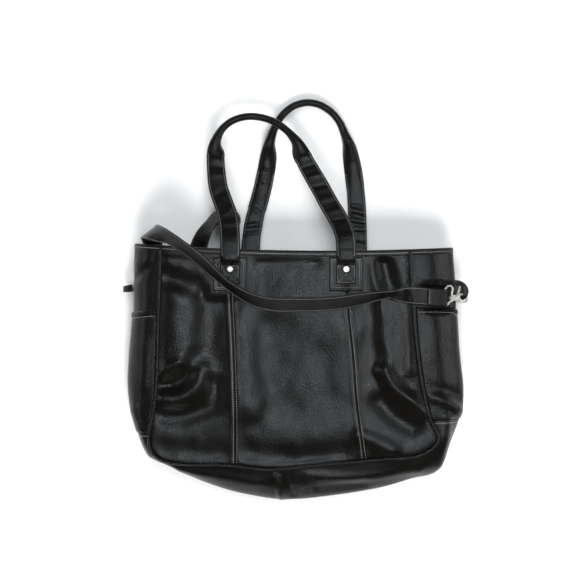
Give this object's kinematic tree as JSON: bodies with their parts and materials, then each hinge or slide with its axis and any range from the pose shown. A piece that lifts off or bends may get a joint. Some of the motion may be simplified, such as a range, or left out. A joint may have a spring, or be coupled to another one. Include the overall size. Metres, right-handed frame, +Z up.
{
  "type": "diaper bag",
  "caption": "Black leather diaper tote lying on its back, with long rolled-grip handles, side pockets and a detachable shoulder strap on swivel snap hooks.",
  "frame": {"origin": "bottom centre of the box round the whole bag as it lies on its back, handles laid out", "axes": "+X across the bag to its right seen from the front, +Y from the bottom gusset to the handles, +Z up out of the front panel"},
  "size_m": [0.4515, 0.5231, 0.0815],
  "materials": {
    "shell_leather": "semi-gloss black leather with a fine pebble grain",
    "handle_leather": "semi-gloss black leather, rolled and stitched",
    "binding_leather": "turned black leather edge with pale stitching",
    "piping_leather": "black leather piping, slightly glossier than the panels",
    "lining_fabric": "dark plain-weave lining",
    "handle_cord": "foam cord inside the grips",
    "polished_nickel": "polished nickel plate",
    "plain_steel": "plain steel"
  },
  "bodies": {
    "bag": {"back_panel": "shell_leather", "back_piping": "piping_leather", "bottom_gusset": "shell_leather", "front_center_panel": "shell_leather", "front_left_panel": "shell_leather", "front_left_patch": "shell_leather", "front_left_tab": "shell_leather", "front_piping": "piping_leather", "front_right_panel": "shell_leather", "front_right_patch": "shell_leather", "front_right_tab": "shell_leather", "handle_rivets": "polished_nickel", "inner_pocket": "lining_fabric", "left_gusset": "shell_leather", "left_hook_eye": "polished_nickel", "left_side_loop": "shell_leather", "left_side_pocket": "shell_leather", "lining": "lining_fabric", "rear_left_patch": "shell_leather", "rear_left_tab": "shell_leather", "rear_right_patch": "shell_leather", "rear_right_tab": "shell_leather", "right_gusset": "shell_leather", "right_hook_eye": "polished_nickel", "right_side_loop": "shell_leather", "right_side_pocket": "shell_leather", "rim_binding": "binding_leather", "rivet_washers": "plain_steel", "shoulder_strap": "shell_leather", "snap_socket": "plain_steel", "snap_stud": "plain_steel"},
    "front_handle": {"front_handle_strap": "handle_leather", "front_handle_core": "handle_cord"},
    "rear_handle": {"rear_handle_strap": "handle_leather", "rear_handle_core": "handle_cord"},
    "left_hook": {"left_hook_claw": "polished_nickel", "left_hook_pin": "plain_steel", "left_hook_spring": "plain_steel"},
    "right_hook": {"right_hook_claw": "polished_nickel", "right_hook_pin": "plain_steel", "right_hook_spring": "plain_steel"},
    "left_trigger": {"left_hook_trigger": "polished_nickel"},
    "right_trigger": {"right_hook_trigger": "polished_nickel"}
  },
  "joints": [
    {"name": "front_handle_fold", "type": "hinge", "parent": "bag", "child": "front_handle", "pos_m": [0, 0.0465, 0.061], "axis": [1, 0, 0], "range_deg": [0, 120]},
    {"name": "rear_handle_fold", "type": "hinge", "parent": "bag", "child": "rear_handle", "pos_m": [0.0104, 0.0465, 0.007], "axis": [1, 0, 0], "range_deg": [-120, 0]},
    {"name": "left_hook_swivel", "type": "hinge", "parent": "bag", "child": "left_hook", "pos_m": [-0.1825, 0.011, 0.0045], "axis": [-0.9659, 0, 0.2588], "range_deg": [-8, 8]},
    {"name": "right_hook_swivel", "type": "hinge", "parent": "bag", "child": "right_hook", "pos_m": [0.194, 0.0008, 0.0415], "axis": [0.9611, 0, -0.276], "range_deg": [-8, 2]},
    {"name": "left_trigger_press", "type": "hinge", "parent": "left_hook", "child": "left_trigger", "pos_m": [-0.19921, 0.0068, 0.00898], "axis": [0.2588, 0, 0.9659], "range_deg": [-20, 0], "stiffness_Nm_per_rad": 0.03, "springref_deg": 8.59},
    {"name": "right_trigger_press", "type": "hinge", "parent": "right_hook", "child": "right_trigger", "pos_m": [0.21063, 0.005, 0.03673], "axis": [0.276, 0, 0.9611], "range_deg": [-20, 0], "stiffness_Nm_per_rad": 0.03, "springref_deg": 8.59}
  ]
}
